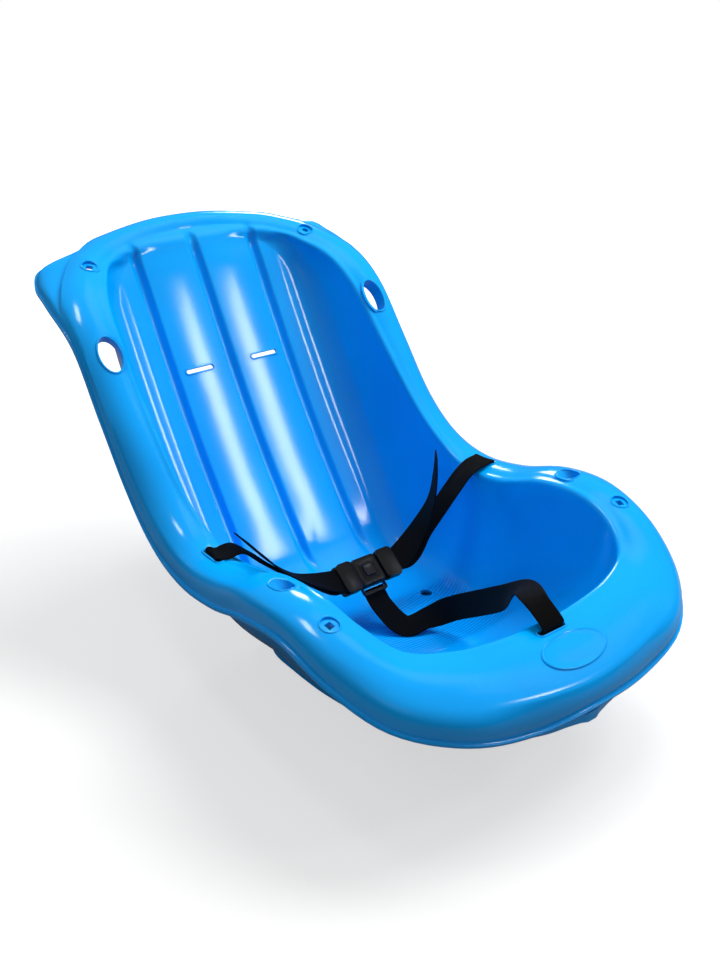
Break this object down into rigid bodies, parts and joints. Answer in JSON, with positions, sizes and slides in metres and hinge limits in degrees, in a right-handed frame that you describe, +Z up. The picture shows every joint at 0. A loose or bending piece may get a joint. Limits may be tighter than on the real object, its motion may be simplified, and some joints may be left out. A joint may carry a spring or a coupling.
{
  "type": "baby pull sled",
  "caption": "Moulded pull sled for a small child, with a deep seat tub, a high backrest, a rolled rim with hand-holds, a runner base and a webbing harness with a push-button buckle.",
  "frame": {"origin": "under the middle of the sled's box, on the ground", "axes": "+Y runs from the prow to the backrest, +X is the seated child's left when it faces the front (the viewer's right from the front), +Z is up"},
  "size_m": [0.4012, 0.6518, 0.375],
  "materials": {
    "shell_plastic": "glossy mid-blue injection-moulded polypropylene",
    "base_plastic": "the same polypropylene, slightly less glossy",
    "webbing": "black woven polyester webbing",
    "buckle_plastic": "black moulded acetal with a fine grain",
    "spring_wire": "plain spring wire"
  },
  "bodies": {
    "sled": {"seat_shell": "shell_plastic", "runner_base": "base_plastic", "left_anchor_bar": "buckle_plastic", "right_anchor_bar": "buckle_plastic", "crotch_anchor_bar": "buckle_plastic", "left_waist_strap": "webbing", "right_waist_strap": "webbing", "crotch_strap": "webbing", "buckle_front_cover": "buckle_plastic", "buckle_back_cover": "buckle_plastic", "button_spring": "spring_wire"},
    "button": {"release_button": "buckle_plastic"},
    "left_tongue_body": {"left_tongue": "buckle_plastic", "left_strap_tail": "webbing"},
    "right_tongue_body": {"right_tongue": "buckle_plastic", "right_strap_tail": "webbing"}
  },
  "joints": [
    {"name": "release_button_press", "type": "slide", "parent": "sled", "child": "button", "axis": [0, 0.6101, -0.7923], "range_m": [0, 0.0025], "stiffness_N_per_m": 400, "springref_m": -0.002, "deforming": ["button_spring"]},
    {"name": "left_tongue_slide", "type": "slide", "parent": "sled", "child": "left_tongue_body", "axis": [-1, 0, 0], "range_m": [0, 0.013], "deforming": ["left_waist_strap", "left_strap_tail"]},
    {"name": "right_tongue_slide", "type": "slide", "parent": "sled", "child": "right_tongue_body", "axis": [1, 0, 0], "range_m": [0, 0.013], "deforming": ["right_waist_strap", "right_strap_tail"]}
  ]
}
